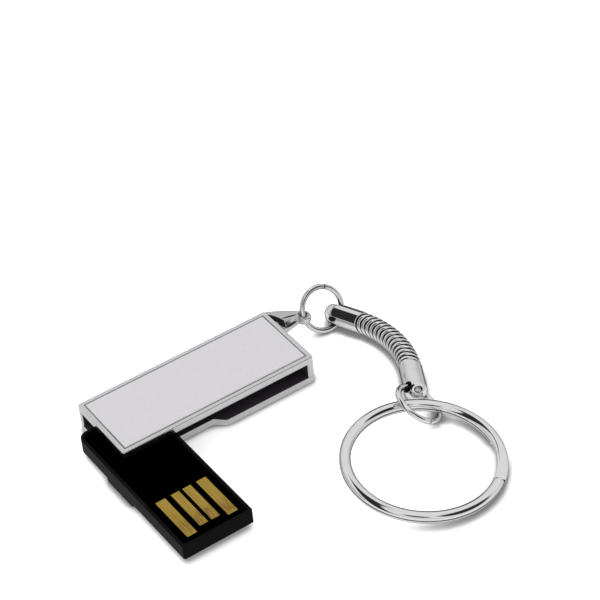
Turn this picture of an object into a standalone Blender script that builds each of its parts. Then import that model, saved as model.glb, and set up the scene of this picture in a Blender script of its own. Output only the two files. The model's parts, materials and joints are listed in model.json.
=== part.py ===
"""Swing-out USB flash drive on a snake chain with a split key ring.

The casing lies flat with its underside on z = 0 and its length along X. The slug is
turned out by a quarter turn, and the chain lies beside the casing's right end.
"""

import math

import bmesh
import bpy
from mathutils import Matrix, Vector

MM = 0.001

# Casing
CASING_LENGTH = 34.0 * MM
CASING_WIDTH = 13.6 * MM
CORNER_RADIUS = 0.4 * MM
BASE_THICKNESS = 1.15 * MM
SLOT_HEIGHT = 2.6 * MM
TOP_THICKNESS = 1.25 * MM
BACK_WALL = 1.0 * MM
END_WALL = 1.2 * MM
EDGE_ROUND = 0.12 * MM
SEAT_GAP = 0.05 * MM

# Panel let into the top plate
RIM_WIDTH = 0.9 * MM
PANEL_THICKNESS = 0.45 * MM
PANEL_PROUD = 0.05 * MM
PANEL_CLEARANCE = 0.1 * MM

# Thumb notch in the front edge of the base
NOTCH_DEPTH = 1.5 * MM
NOTCH_LEFT = 6.2 * MM
NOTCH_RIGHT = 18.0 * MM
NOTCH_LEFT_SLOPE = 1.0 * MM
NOTCH_RIGHT_SLOPE = 1.9 * MM

# Slug that swings out
SLUG_LENGTH = 29.6 * MM
SLUG_WIDTH = 12.0 * MM
SLUG_CLEARANCE = 0.1 * MM
SLUG_PIVOT_SETBACK = 2.75 * MM
SLUG_PIVOT_CORNER = 1.6 * MM
SLUG_END_CORNER = 0.35 * MM
SLUG_CHAMFER = 0.35 * MM
SWING_CLEARANCE = 0.1 * MM
PIVOT_FROM_END = 3.1 * MM
SLUG_SWUNG_OUT = 89.4

# Thumb rib under the slug's edge
RIB_START = 7.85 * MM
RIB_LENGTH = 6.9 * MM
RIB_WIDTH = 0.65 * MM
RIB_SETBACK = 0.2 * MM
RIB_END_SLOPE = 0.35 * MM
RIB_FLOOR_GAP = 0.1 * MM

# Board, contacts and the parts under the board
BOARD_THICKNESS = 0.75 * MM
BOARD_RIM = 0.6 * MM
BOARD_SUNK = 0.03 * MM
POCKET_RIM = 1.3 * MM
POCKET_FLOOR = 0.5 * MM
POCKET_START = 6.5 * MM
PAD_THICKNESS = 0.06 * MM
PAD_SEAT = 0.01 * MM
PAD_OUTER_PITCH = 3.5 * MM
PAD_INNER_PITCH = 1.0 * MM
PAD_END_MARGIN = 1.4 * MM
PAD_OUTER_LENGTH = 8.6 * MM
PAD_OUTER_WIDTH = 1.65 * MM
PAD_INNER_LENGTH = 7.85 * MM
PAD_INNER_WIDTH = 1.4 * MM
MEMORY_CHIP_WIDTH = 8.0 * MM
MEMORY_CHIP_HEIGHT = 0.85 * MM
CONTROLLER_CHIP_SIDE = 5.0 * MM
CONTROLLER_CHIP_HEIGHT = 0.8 * MM
CRYSTAL_LENGTH = 2.5 * MM
CRYSTAL_WIDTH = 3.2 * MM
CRYSTAL_HEIGHT = 0.7 * MM
CHIP_SPACING = 0.9 * MM

# Pivot
PIN_RADIUS = 0.8 * MM
PIN_HEAD_RADIUS = 1.5 * MM
PIN_HEAD_HEIGHT = 0.45 * MM
PIN_END_GRIP = 0.65 * MM
RUNNING_CLEARANCE = 0.06 * MM
BUSH_WALL = 0.4 * MM
WASHER_RECESS = 0.45 * MM
WASHER_RADIUS = 2.1 * MM
WASHER_THICKNESS = 0.2 * MM

# Screw that holds the base under the ear
SCREW_RADIUS = 0.45 * MM
SCREW_HEAD_RADIUS = 0.85 * MM
SCREW_HEAD_HEIGHT = 0.4 * MM
SCREW_LENGTH = 2.6 * MM
SCREW_INSET = 1.35 * MM

# Ear that carries the chain
EAR_REACH = 4.85 * MM
EAR_HOLE_Y = 3.12 * MM
EAR_HOLE_Z = 3.43 * MM
EAR_HOLE_RADIUS = 0.68 * MM
EAR_TIP_RADIUS = 1.15 * MM
EAR_TIP_HEIGHT = 1.0 * MM
EAR_ROOT_BOTTOM = 2.5 * MM
EAR_ROOT_TOP = 4.85 * MM
EAR_ROOT_FRONT = 2.4 * MM
EAR_ROUND = 0.3 * MM

# Wire rings
RING_RADIUS = 3.46 * MM
RING_WIRE_RADIUS = 0.46 * MM
RING_CUT = 0.15 * MM
JUMP_RING_LEAN = 31.3
EYE_ON_RING = -52.0

# Snake chain
CHAIN_AXIS_Z = 1.82 * MM
CAP_RADIUS = 1.8 * MM
CAP_EYE_TO_CHAIN = 4.36 * MM
CAP_B_EYE_TO_CHAIN = 5.7 * MM
CAP_TONGUE_THICKNESS = 1.7 * MM
CAP_TONGUE_END = 1.65 * MM
CAP_EYE_RADIUS = 1.0 * MM
CAP_EYE_BACK = 0.3 * MM
CAP_A_EYE_SHIFT = 0.4 * MM
CAP_B_EYE_SHIFT = 0.0 * MM
CAP_TONGUE_LENGTH = 1.1 * MM
CAP_RAMP = 0.9 * MM
CAP_END_GAP = 0.42 * MM
LINK_COUNT = 15
LINK_PITCH = 0.891 * MM
LINK_RADIUS = 1.72 * MM
LINK_WALL = 1.0 * MM
LINK_THICKNESS = 0.65 * MM
LINK_WAVE = 0.36 * MM
LINK_WAVE_TURN = 45.0
CHAIN_HEADING = -65.2
CHAIN_TURN = -52.3
CAP_A_ROLL = 30.0
CAP_B_ROLL = 38.5
CAP_B_RISE = 4.0

# Connector ring and split key ring
CONNECTOR_RADIUS = 3.6 * MM
CONNECTOR_LIFT = 0.136 * MM
CONNECTOR_TILT = 36.9
CONNECTOR_TILT_HEADING = -23.3
CONNECTOR_HEADING = -121.0
KEY_RING_RADIUS = 11.54 * MM
KEY_RING_BAND = 1.7 * MM
KEY_RING_TURN_HEIGHT = 0.85 * MM
KEY_RING_TURN_GAP = 0.1 * MM
KEY_RING_TURNS = 1.93
KEY_RING_START = 12.0
KEY_RING_CROSSOVER = 50.0
KEY_RING_TILT = 5.34
KEY_RING_TILT_HEADING = -44.4
KEY_RING_HOLD = 57.0
KEY_RING_HOLD_OFFSET = (0.104 * MM, -0.005 * MM, -0.257 * MM)

ROUND_SIDES = 40

# Levels and places that follow from the sizes above
CASING_HEIGHT = BASE_THICKNESS + SLOT_HEIGHT + TOP_THICKNESS
SLOT_TOP = BASE_THICKNESS + SLOT_HEIGHT
SLUG_BOTTOM = BASE_THICKNESS + SLUG_CLEARANCE
SLUG_TOP = SLOT_TOP - SLUG_CLEARANCE
PIVOT_CORNER_REACH = (
    math.hypot(SLUG_PIVOT_SETBACK - SLUG_PIVOT_CORNER, SLUG_WIDTH / 2 - SLUG_PIVOT_CORNER)
    + SLUG_PIVOT_CORNER
)
PIVOT = Vector(
    (
        -CASING_LENGTH / 2 + PIVOT_FROM_END,
        CASING_WIDTH / 2 - BACK_WALL - SWING_CLEARANCE - PIVOT_CORNER_REACH,
        0.0,
    )
)
BOARD_TOP = SLUG_TOP - BOARD_SUNK
BOARD_BOTTOM = BOARD_TOP - BOARD_THICKNESS
POCKET_LENGTH = SLUG_LENGTH - POCKET_START - POCKET_RIM
MEMORY_CHIP_LENGTH = POCKET_LENGTH - CONTROLLER_CHIP_SIDE - CRYSTAL_LENGTH - CHIP_SPACING * 4
BUSH_RADIUS = PIN_RADIUS + RUNNING_CLEARANCE + BUSH_WALL
EAR_HOLE = Vector((CASING_LENGTH / 2 + EAR_REACH, EAR_HOLE_Y, EAR_HOLE_Z))


def clear_scene():
    for item in list(bpy.data.objects):
        bpy.data.objects.remove(item, do_unlink=True)


def collection_named(name):
    group = bpy.data.collections.new(name)
    bpy.context.scene.collection.children.link(group)
    return group


def material_named(name, colour, roughness, metallic):
    material = bpy.data.materials.new(name)
    material.use_nodes = True
    shader = material.node_tree.nodes["Principled BSDF"]
    shader.inputs["Base Color"].default_value = (*colour, 1.0)
    shader.inputs["Roughness"].default_value = roughness
    shader.inputs["Metallic"].default_value = metallic
    return material


clear_scene()
PARTS = collection_named("usb_flash_drive")
CUTTERS = collection_named("cutters")
GUIDES = collection_named("joints")

CHROME = material_named("bright_chrome", (0.78, 0.78, 0.79), 0.08, 1.0)
PANEL_SILVER = material_named("matt_silver", (0.72, 0.71, 0.73), 0.45, 0.6)
CARRIER_GREY = material_named("dark_grey_plastic", (0.05, 0.05, 0.055), 0.4, 0.0)
BOARD_BLACK = material_named("gloss_black_resin", (0.004, 0.004, 0.005), 0.12, 0.0)
CONTACT_GOLD = material_named("contact_gold", (0.62, 0.43, 0.10), 0.3, 1.0)
STEEL = material_named("plain_steel", (0.55, 0.55, 0.56), 0.3, 1.0)
CHIP_BLACK = material_named("chip_black", (0.02, 0.02, 0.02), 0.5, 0.0)


def place(obj, material, parent=None, matrix=None):
    """Puts a finished piece in the parts collection with its material."""
    PARTS.objects.link(obj)
    obj.data.materials.clear()
    obj.data.materials.append(material)
    if parent is not None:
        obj.parent = parent
    if matrix is not None:
        obj.matrix_local = matrix
    return obj


def mesh_object(name, bm):
    """A new object from a bmesh, with its faces pointing out."""
    bmesh.ops.recalc_face_normals(bm, faces=bm.faces)
    mesh = bpy.data.meshes.new(name)
    bm.to_mesh(mesh)
    bm.free()
    return bpy.data.objects.new(name, mesh)


def smooth(obj, angle=35.0):
    obj.data.shade_smooth()
    obj.data.set_sharp_from_angle(angle=math.radians(angle))


def joint_empty(name, parent, matrix):
    empty = bpy.data.objects.new(name, None)
    GUIDES.objects.link(empty)
    empty.empty_display_size = 2.0 * MM
    empty.parent = parent
    empty.matrix_local = matrix
    return empty


def arc(centre, radius, start, end, count=6):
    """Points on an arc, angles in degrees."""
    points = []
    for step in range(count + 1):
        angle = math.radians(start + (end - start) * step / count)
        points.append((centre[0] + radius * math.cos(angle), centre[1] + radius * math.sin(angle)))
    return points


def rounded_rectangle(left, right, front, back, radii):
    """Outline, counter-clockwise from the front left corner, with a radius for each corner."""
    corners = (
        (left, front, 1, 1, 180),
        (right, front, -1, 1, 270),
        (right, back, -1, -1, 0),
        (left, back, 1, -1, 90),
    )
    points = []
    for (x, y, inward_x, inward_y, start), radius in zip(corners, radii):
        centre = (x + inward_x * radius, y + inward_y * radius)
        points += arc(centre, radius, start, start + 90)
    return points


def slab(name, outline, bottom, top):
    """A closed solid of a flat outline between two heights, as a mesh object."""
    curve = bpy.data.curves.new(name, "CURVE")
    curve.dimensions = "2D"
    curve.fill_mode = "BOTH"
    curve.extrude = (top - bottom) / 2
    spline = curve.splines.new("POLY")
    spline.points.add(len(outline) - 1)
    for point, (x, y) in zip(spline.points, outline):
        point.co = (x, y, 0.0, 1.0)
    spline.use_cyclic_u = True
    obj = curve_to_mesh(bpy.data.objects.new(name, curve))
    obj.data.transform(Matrix.Translation((0.0, 0.0, (bottom + top) / 2)))
    return obj


def curve_to_mesh(curve_object):
    """Swaps a curve object for a mesh object of the same name with its caps welded on."""
    name = curve_object.name
    CUTTERS.objects.link(curve_object)
    bpy.context.view_layer.update()
    graph = bpy.context.evaluated_depsgraph_get()
    mesh = bpy.data.meshes.new_from_object(curve_object.evaluated_get(graph))
    bpy.data.objects.remove(curve_object)
    bm = bmesh.new()
    bm.from_mesh(mesh)
    bmesh.ops.remove_doubles(bm, verts=bm.verts, dist=0.001 * MM)
    bmesh.ops.recalc_face_normals(bm, faces=bm.faces)
    bm.to_mesh(mesh)
    bm.free()
    mesh.name = name
    return bpy.data.objects.new(name, mesh)


def block(name, low, high):
    bm = bmesh.new()
    bmesh.ops.create_cube(bm, size=1.0)
    size = [high[i] - low[i] for i in range(3)]
    middle = [(high[i] + low[i]) / 2 for i in range(3)]
    bmesh.ops.scale(bm, vec=size, verts=bm.verts)
    bmesh.ops.translate(bm, vec=middle, verts=bm.verts)
    return mesh_object(name, bm)


def rod(name, radius, bottom, top, x=0.0, y=0.0, sides=ROUND_SIDES, top_radius=None):
    bm = bmesh.new()
    upper = radius if top_radius is None else top_radius
    bmesh.ops.create_cone(
        bm, cap_ends=True, segments=sides, radius1=radius, radius2=upper, depth=top - bottom
    )
    bmesh.ops.translate(bm, vec=(x, y, (bottom + top) / 2), verts=bm.verts)
    return mesh_object(name, bm)


def turned(name, profile, sides=ROUND_SIDES):
    """A turned solid: a closed (radius, height) profile spun about Z."""
    bm = bmesh.new()
    loop = [bm.verts.new((radius, 0.0, height)) for radius, height in profile]
    edges = [bm.edges.new((loop[i], loop[(i + 1) % len(loop)])) for i in range(len(loop))]
    bmesh.ops.spin(
        bm,
        geom=loop + edges,
        cent=(0, 0, 0),
        axis=(0, 0, 1),
        angle=2 * math.pi,
        steps=sides,
        use_merge=True,
    )
    bmesh.ops.remove_doubles(bm, verts=bm.verts, dist=0.001 * MM)
    return mesh_object(name, bm)


def combine(target, operand, operation):
    """Adds a live Boolean with a hidden operand that stays in the target's own frame."""
    CUTTERS.objects.link(operand)
    operand.parent = target
    operand.hide_render = True
    operand.display_type = "WIRE"
    step = target.modifiers.new(operation.lower(), "BOOLEAN")
    step.operation = operation
    step.object = operand
    step.solver = "EXACT"


def round_edges(obj, width, segments=1, angle=40.0):
    step = obj.modifiers.new("rounded_edges", "BEVEL")
    step.width = width
    step.segments = segments
    step.limit_method = "ANGLE"
    step.angle_limit = math.radians(angle)
    step.harden_normals = False


def bake(obj):
    """Applies an unlinked operand's modifiers, so that it can be cut or joined."""
    CUTTERS.objects.link(obj)
    bpy.context.view_layer.update()
    graph = bpy.context.evaluated_depsgraph_get()
    mesh = bpy.data.meshes.new_from_object(obj.evaluated_get(graph))
    obj.modifiers.clear()
    obj.data = mesh
    CUTTERS.objects.unlink(obj)


def wire_ring(name, radius, cut_angle):
    """Round wire ring in its own XY plane, with a narrow cut, its origin on the wire at 180 degrees."""
    curve = bpy.data.curves.new(name, "CURVE")
    curve.dimensions = "3D"
    curve.bevel_depth = RING_WIRE_RADIUS
    curve.bevel_resolution = 2
    curve.use_fill_caps = True
    half_cut = math.degrees(RING_CUT / 2 / radius)
    points = arc((radius, 0.0), radius, cut_angle + half_cut, cut_angle + 360 - half_cut, 40)
    spline = curve.splines.new("POLY")
    spline.points.add(len(points) - 1)
    for point, (x, y) in zip(spline.points, points):
        point.co = (x, y, 0.0, 1.0)
    return curve_to_mesh(bpy.data.objects.new(name, curve))


def ear_solid():
    """Tapered ear at the right end, level with the casing at its root and thinner at its tip."""
    root_x = CASING_LENGTH / 2 - END_WALL / 2
    root_back = CASING_WIDTH / 2 - EAR_ROUND
    tip_x, tip_y = EAR_HOLE.x, EAR_HOLE.y
    outline = [(root_x, root_back), (root_x, EAR_ROOT_FRONT), (CASING_LENGTH / 2 + EAR_ROUND, EAR_ROOT_FRONT)]
    outline += arc((tip_x, tip_y), EAR_TIP_RADIUS, -165, 55, 14)
    shoulder = Vector((CASING_LENGTH / 2 + EAR_ROUND, root_back))
    leave = Vector(outline[-1])
    bulge = (shoulder + leave) / 2 + Vector((EAR_ROUND, EAR_ROUND))
    for step in range(1, 5):
        t = step / 5
        point = leave * (1 - t) ** 2 + bulge * 2 * t * (1 - t) + shoulder * t**2
        outline.append(tuple(point))
    outline.append(tuple(shoulder))
    ear = slab("ear", outline, EAR_ROOT_BOTTOM, EAR_ROOT_TOP)
    middle = (EAR_ROOT_BOTTOM + EAR_ROOT_TOP) / 2
    for vertex in ear.data.vertices:
        along = min(max((vertex.co.x - CASING_LENGTH / 2) / EAR_REACH, 0.0), 1.0)
        if vertex.co.z > middle:
            vertex.co.z += along * (EAR_HOLE_Z + EAR_TIP_HEIGHT / 2 - EAR_ROOT_TOP)
        else:
            vertex.co.z += along * (EAR_HOLE_Z - EAR_TIP_HEIGHT / 2 - EAR_ROOT_BOTTOM)
    round_edges(ear, EAR_ROUND, 2)
    bake(ear)
    return ear


def casing_outline():
    half_length, half_width = CASING_LENGTH / 2, CASING_WIDTH / 2
    return rounded_rectangle(-half_length, half_length, -half_width, half_width, [CORNER_RADIUS] * 4)


def make_casing_body():
    """Top plate, back wall and end wall in one piece, with the ear."""
    half_length, half_width = CASING_LENGTH / 2, CASING_WIDTH / 2
    body = slab("casing_body", casing_outline(), BASE_THICKNESS + SEAT_GAP, CASING_HEIGHT)
    round_edges(body, EDGE_ROUND)
    beyond = CORNER_RADIUS + EDGE_ROUND
    slot = block(
        "slot_cut",
        (-half_length - beyond, -half_width - beyond, 0.0),
        (half_length - END_WALL, half_width - BACK_WALL, SLOT_TOP),
    )
    combine(body, slot, "DIFFERENCE")
    reach = RIM_WIDTH - PANEL_CLEARANCE
    pocket = block(
        "panel_pocket",
        (-half_length + reach, -half_width + reach, panel_floor() - SEAT_GAP),
        (half_length - reach, half_width - reach, CASING_HEIGHT + PANEL_THICKNESS),
    )
    combine(body, pocket, "DIFFERENCE")
    pin_seat = rod(
        "pin_seat",
        PIN_RADIUS + SEAT_GAP,
        SLOT_TOP - SEAT_GAP,
        SLOT_TOP + PIN_END_GRIP + SEAT_GAP,
        PIVOT.x,
        PIVOT.y,
    )
    combine(body, pin_seat, "DIFFERENCE")
    combine(body, ear_solid(), "UNION")
    combine(body, ear_hole_cutter(), "DIFFERENCE")
    x, y = screw_place()
    screw_seat = rod(
        "screw_seat", SCREW_RADIUS + SEAT_GAP, BASE_THICKNESS, SCREW_LENGTH + SEAT_GAP * 2, x, y
    )
    combine(body, screw_seat, "DIFFERENCE")
    return place(body, CHROME)


def panel_floor():
    return CASING_HEIGHT + PANEL_PROUD - PANEL_THICKNESS


def screw_place():
    """The screw stands in the thick corner where the ear meets the casing."""
    return CASING_LENGTH / 2 - END_WALL / 2, CASING_WIDTH / 2 - SCREW_INSET


def ear_hole_cutter():
    """Hole through the ear's tip, along the wire of the leaning jump ring."""
    length = EAR_ROOT_TOP * 2
    cutter = rod("ear_hole", EAR_HOLE_RADIUS, -length / 2, length / 2, sides=24)
    turn = Matrix.Rotation(math.radians(-JUMP_RING_LEAN), 4, "X")
    half_way = EAR_TIP_HEIGHT / 2 / math.cos(math.radians(JUMP_RING_LEAN))
    bow = Vector((half_way**2 / RING_RADIUS / 4, 0.0, 0.0))
    cutter.data.transform(Matrix.Translation(EAR_HOLE + bow) @ turn)
    return cutter


def make_bottom_plate():
    """Base plate with the thumb notch, the pin's countersink and the screw's."""
    half_length, half_width = CASING_LENGTH / 2, CASING_WIDTH / 2
    plate = slab("bottom_plate", casing_outline(), 0.0, BASE_THICKNESS)
    round_edges(plate, EDGE_ROUND)
    left, right = -half_length + NOTCH_LEFT, -half_length + NOTCH_RIGHT
    inner = -half_width + NOTCH_DEPTH
    outer = -half_width - CORNER_RADIUS
    outline = [(left, outer), (left, -half_width)]
    outline += [(left + NOTCH_LEFT_SLOPE, inner), (right - NOTCH_RIGHT_SLOPE, inner)]
    for step in range(1, 8):
        share = step / 8
        ease = share * share * (3 - 2 * share)
        outline.append((right - NOTCH_RIGHT_SLOPE * (1 - share), inner - NOTCH_DEPTH * ease))
    outline += [(right, -half_width), (right, outer)]
    notch = slab("thumb_notch", outline[::-1], -BASE_THICKNESS, BASE_THICKNESS * 2)
    combine(plate, notch, "DIFFERENCE")
    pin_hole = countersink("pin_hole", PIN_RADIUS, PIN_HEAD_RADIUS, PIN_HEAD_HEIGHT, PIVOT)
    combine(plate, pin_hole, "DIFFERENCE")
    where = Vector((*screw_place(), 0.0))
    screw_hole = countersink("screw_hole", SCREW_RADIUS, SCREW_HEAD_RADIUS, SCREW_HEAD_HEIGHT, where)
    combine(plate, screw_hole, "DIFFERENCE")
    return place(plate, CHROME)


def countersink(name, shank, head, height, where):
    """Cutter for a countersunk hole through the base, open at both faces."""
    cutter = turned(
        name,
        [
            (0.0, BASE_THICKNESS * 1.5),
            (shank + SEAT_GAP, BASE_THICKNESS * 1.5),
            (shank + SEAT_GAP, height),
            (head + SEAT_GAP, SEAT_GAP),
            (head + SEAT_GAP, -BASE_THICKNESS),
            (0.0, -BASE_THICKNESS),
        ],
        sides=24,
    )
    cutter.data.transform(Matrix.Translation(where))
    return cutter


def make_top_panel():
    half_length, half_width = CASING_LENGTH / 2 - RIM_WIDTH, CASING_WIDTH / 2 - RIM_WIDTH
    bottom = panel_floor()
    panel = block(
        "top_panel",
        (-half_length, -half_width, bottom),
        (half_length, half_width, bottom + PANEL_THICKNESS),
    )
    round_edges(panel, PANEL_PROUD)
    return place(panel, PANEL_SILVER)


def make_pivot_pin():
    """Countersunk rivet from the base up into the top plate."""
    pin = turned(
        "pivot_pin",
        [
            (0.0, SLOT_TOP + PIN_END_GRIP),
            (PIN_RADIUS, SLOT_TOP + PIN_END_GRIP),
            (PIN_RADIUS, PIN_HEAD_HEIGHT),
            (PIN_HEAD_RADIUS, SEAT_GAP),
            (PIN_HEAD_RADIUS, SEAT_GAP / 2),
            (0.0, SEAT_GAP / 2),
        ],
        sides=24,
    )
    smooth(pin)
    return place(pin, STEEL, matrix=Matrix.Translation(PIVOT))


def make_base_screw():
    screw = turned(
        "base_screw",
        [
            (0.0, SCREW_LENGTH),
            (SCREW_RADIUS, SCREW_LENGTH),
            (SCREW_RADIUS, SCREW_HEAD_HEIGHT),
            (SCREW_HEAD_RADIUS, SEAT_GAP),
            (SCREW_HEAD_RADIUS, SEAT_GAP / 2),
            (0.0, SEAT_GAP / 2),
        ],
        sides=20,
    )
    smooth(screw)
    return place(screw, STEEL, matrix=Matrix.Translation((*screw_place(), 0.0)))


def make_spring_washer():
    """Domed washer between the base and the recess in the slug's underside."""
    inner = PIN_RADIUS + RUNNING_CLEARANCE * 2
    low = BASE_THICKNESS + SEAT_GAP
    high = SLUG_BOTTOM + WASHER_RECESS - SEAT_GAP - WASHER_THICKNESS
    washer = turned(
        "spring_washer",
        [
            (inner, high + WASHER_THICKNESS),
            (WASHER_RADIUS, low + WASHER_THICKNESS),
            (WASHER_RADIUS, low),
            (inner, high),
        ],
    )
    smooth(washer)
    return place(washer, STEEL, matrix=Matrix.Translation(PIVOT))


def slug_outline(inset):
    """Outline in the slug's own frame: X runs from the pivot to the contact end."""
    start = -SLUG_PIVOT_SETBACK + inset
    end = SLUG_LENGTH - SLUG_PIVOT_SETBACK - inset
    half = SLUG_WIDTH / 2 - inset
    pivot_corner = max(SLUG_PIVOT_CORNER - inset, SLUG_END_CORNER)
    radii = [pivot_corner, SLUG_END_CORNER, SLUG_END_CORNER, pivot_corner]
    return rounded_rectangle(start, end, -half, half, radii)


def make_slug_carrier(swing):
    """Tray with the board's seat, the pocket under it, the thumb rib and the pivot bore."""
    carrier = slab("slug_carrier", slug_outline(0.0), SLUG_BOTTOM, SLUG_TOP)
    combine(carrier, slug_chamfer_cutter(), "INTERSECT")
    seat = slab(
        "board_seat", slug_outline(BOARD_RIM - SEAT_GAP), BOARD_BOTTOM - SEAT_GAP, SLUG_TOP + BOARD_THICKNESS
    )
    combine(carrier, seat, "DIFFERENCE")
    pocket_start = POCKET_START - SLUG_PIVOT_SETBACK
    pocket = block(
        "chip_pocket",
        (pocket_start, -SLUG_WIDTH / 2 + POCKET_RIM, SLUG_BOTTOM + POCKET_FLOOR),
        (pocket_start + POCKET_LENGTH, SLUG_WIDTH / 2 - POCKET_RIM, SLUG_TOP),
    )
    combine(carrier, pocket, "DIFFERENCE")
    bore = rod("bush_bore", BUSH_RADIUS + SEAT_GAP, 0.0, CASING_HEIGHT)
    combine(carrier, bore, "DIFFERENCE")
    recess = rod(
        "washer_recess", WASHER_RADIUS + RUNNING_CLEARANCE * 2, 0.0, SLUG_BOTTOM + WASHER_RECESS
    )
    combine(carrier, recess, "DIFFERENCE")
    combine(carrier, thumb_rib(), "UNION")
    return place(carrier, CARRIER_GREY, swing)


def slug_chamfer_cutter():
    """Solid that keeps the slug below its chamfered top edges."""
    keep = slab("slug_edges", slug_outline(0.0), SLUG_BOTTOM - BASE_THICKNESS, SLUG_TOP)
    step = keep.modifiers.new("chamfer", "BEVEL")
    step.width = SLUG_CHAMFER
    step.segments = 2
    step.limit_method = "ANGLE"
    step.angle_limit = math.radians(60)
    bake(keep)
    return keep


def thumb_rib():
    """Rib under the slug's edge, with an upright near end and a sloping far end."""
    start = RIB_START - SLUG_PIVOT_SETBACK
    end = start + RIB_LENGTH
    outer = -SLUG_WIDTH / 2 + RIB_SETBACK
    rib = block(
        "thumb_rib",
        (start, outer, RIB_FLOOR_GAP),
        (end + RIB_END_SLOPE, outer + RIB_WIDTH, SLUG_BOTTOM + POCKET_FLOOR / 2),
    )
    for vertex in rib.data.vertices:
        if vertex.co.x > end and vertex.co.z < SLUG_BOTTOM:
            vertex.co.x = end
    return rib


def make_contact_board(swing):
    board = slab("contact_board", slug_outline(BOARD_RIM), BOARD_BOTTOM, BOARD_TOP)
    bore = rod("board_bore", BUSH_RADIUS + SEAT_GAP, 0.0, CASING_HEIGHT)
    combine(board, bore, "DIFFERENCE")
    return place(board, BOARD_BLACK, swing)


def make_contact_pads(swing):
    """Four contacts, numbered across the slug: the outer two are longer."""
    bottom = BOARD_TOP + PAD_SEAT
    start = SLUG_LENGTH - SLUG_PIVOT_SETBACK - PAD_END_MARGIN - PAD_OUTER_LENGTH
    outer = (PAD_OUTER_LENGTH, PAD_OUTER_WIDTH)
    inner = (PAD_INNER_LENGTH, PAD_INNER_WIDTH)
    rows = (
        (-PAD_OUTER_PITCH, outer),
        (-PAD_INNER_PITCH, inner),
        (PAD_INNER_PITCH, inner),
        (PAD_OUTER_PITCH, outer),
    )
    for number, (across, (length, width)) in enumerate(rows, start=1):
        pad = block(
            f"contact_pad_{number}",
            (start, across - width / 2, bottom),
            (start + length, across + width / 2, bottom + PAD_THICKNESS),
        )
        place(pad, CONTACT_GOLD, swing)


def make_chips(swing):
    """Memory, controller and crystal, hung under the board inside the pocket."""
    memory = (MEMORY_CHIP_LENGTH, MEMORY_CHIP_WIDTH, MEMORY_CHIP_HEIGHT)
    controller = (CONTROLLER_CHIP_SIDE, CONTROLLER_CHIP_SIDE, CONTROLLER_CHIP_HEIGHT)
    crystal = (CRYSTAL_LENGTH, CRYSTAL_WIDTH, CRYSTAL_HEIGHT)
    x = POCKET_START - SLUG_PIVOT_SETBACK + CHIP_SPACING
    top = BOARD_BOTTOM - SEAT_GAP
    for name, size, material in (
        ("memory_chip", memory, CHIP_BLACK),
        ("controller_chip", controller, CHIP_BLACK),
        ("timing_crystal", crystal, STEEL),
    ):
        length, width, height = size
        chip = block(name, (x, -width / 2, top - height), (x + length, width / 2, top))
        place(chip, material, swing)
        x += length + CHIP_SPACING


def make_pivot_bush(swing):
    inner = PIN_RADIUS + RUNNING_CLEARANCE
    low, high = SLUG_BOTTOM + WASHER_RECESS, SLUG_TOP
    bush = turned(
        "pivot_bush",
        [(inner, high), (BUSH_RADIUS, high), (BUSH_RADIUS, low), (inner, low)],
    )
    smooth(bush)
    return place(bush, STEEL, swing)


def cap_solid(name, eye_to_chain, tongue_roll, eye_shift):
    """Chain cap along X from its eye at the origin: a flattened tongue that swells to a round body."""
    end = eye_to_chain - CAP_END_GAP
    length = end + CAP_EYE_BACK + CAP_TONGUE_END
    cap = rod(name, CAP_RADIUS, end - length, end, sides=28)
    cap.data.transform(Matrix.Rotation(math.radians(90), 4, "Y"))
    round_edges(cap, EDGE_ROUND)
    for side in (1, -1):
        combine(cap, tongue_cheek(f"{name}_cheek", side, tongue_roll), "DIFFERENCE")
    outline = arc((-CAP_EYE_BACK, 0.0), CAP_TONGUE_END, 90, 270, 12)
    outline += [(end * 2, -CAP_TONGUE_END), (end * 2, CAP_TONGUE_END)]
    tip = slab(f"{name}_tip", outline, -CAP_RADIUS * 2, CAP_RADIUS * 2)
    tip.data.transform(Matrix.Diagonal((1.0, (CAP_RADIUS + EDGE_ROUND) / CAP_TONGUE_END, 1.0, 1.0)))
    tip.data.transform(Matrix.Rotation(tongue_roll, 4, "X"))
    combine(cap, tip, "INTERSECT")
    eye = rod(
        f"{name}_eye", CAP_EYE_RADIUS, -CAP_RADIUS * 2, CAP_RADIUS * 2, -CAP_EYE_BACK, eye_shift, sides=20
    )
    eye.data.transform(Matrix.Rotation(tongue_roll, 4, "X"))
    combine(cap, eye, "DIFFERENCE")
    return cap


def tongue_cheek(name, side, roll):
    """Cutter that flattens one side of a cap's tongue and ramps up to its round body."""
    half = CAP_TONGUE_THICKNESS / 2
    far = CAP_RADIUS * 2
    back = -(CAP_EYE_BACK + CAP_TONGUE_END) * 2
    profile = [(back, half), (CAP_TONGUE_LENGTH, half), (CAP_TONGUE_LENGTH + CAP_RAMP, far), (back, far)]
    cheek = slab(name, profile, -far, far)
    upright = Matrix.Rotation(math.radians(90 * side), 4, "X")
    cheek.data.transform(Matrix.Rotation(roll, 4, "X") @ upright)
    return cheek


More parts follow.
